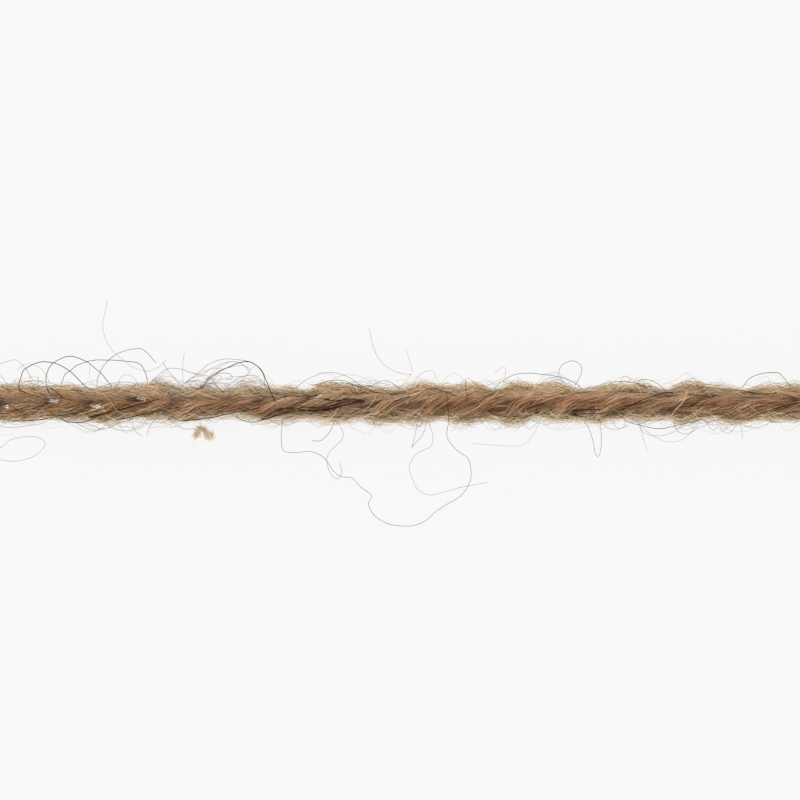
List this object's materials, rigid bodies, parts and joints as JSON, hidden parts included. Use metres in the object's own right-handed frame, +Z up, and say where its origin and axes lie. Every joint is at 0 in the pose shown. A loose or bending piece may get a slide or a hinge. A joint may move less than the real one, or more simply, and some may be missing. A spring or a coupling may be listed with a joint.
{
  "type": "length of chained wool yarn",
  "caption": "Cut length of soft brown wool yarn, a chain of looped stitches, lying straight with loose dark hairs arching off it, used as a strand on a table or in textile work.",
  "frame": {"origin": "on the pressed underside of the strand, under its middle", "axes": "+X along the strand, +Z up from the table, +Y across it towards the taller loose hairs"},
  "size_m": [0.084, 0.0201, 0.003],
  "materials": {
    "wool": "soft fuzzy brown wool with pale and dark fibres",
    "guard_hair": "smooth dark hair with a slight sheen",
    "lint": "pale cream lint"
  },
  "bodies": {
    "root": {"yarn_strand": "wool", "guard_hair_a": "guard_hair", "guard_hair_b": "guard_hair", "guard_hair_c": "guard_hair", "guard_hair_d": "guard_hair", "guard_hair_e": "guard_hair", "guard_hair_f": "guard_hair", "guard_hair_g": "guard_hair", "guard_hair_h": "guard_hair", "guard_hair_i": "guard_hair", "guard_hair_j": "guard_hair", "guard_hair_k": "guard_hair", "guard_hair_m": "guard_hair", "guard_hair_n": "guard_hair", "guard_hair_o": "guard_hair", "guard_hair_p": "guard_hair", "guard_hair_q": "guard_hair", "guard_hair_r": "guard_hair", "lint_speck": "lint"}
  },
  "joints": []
}
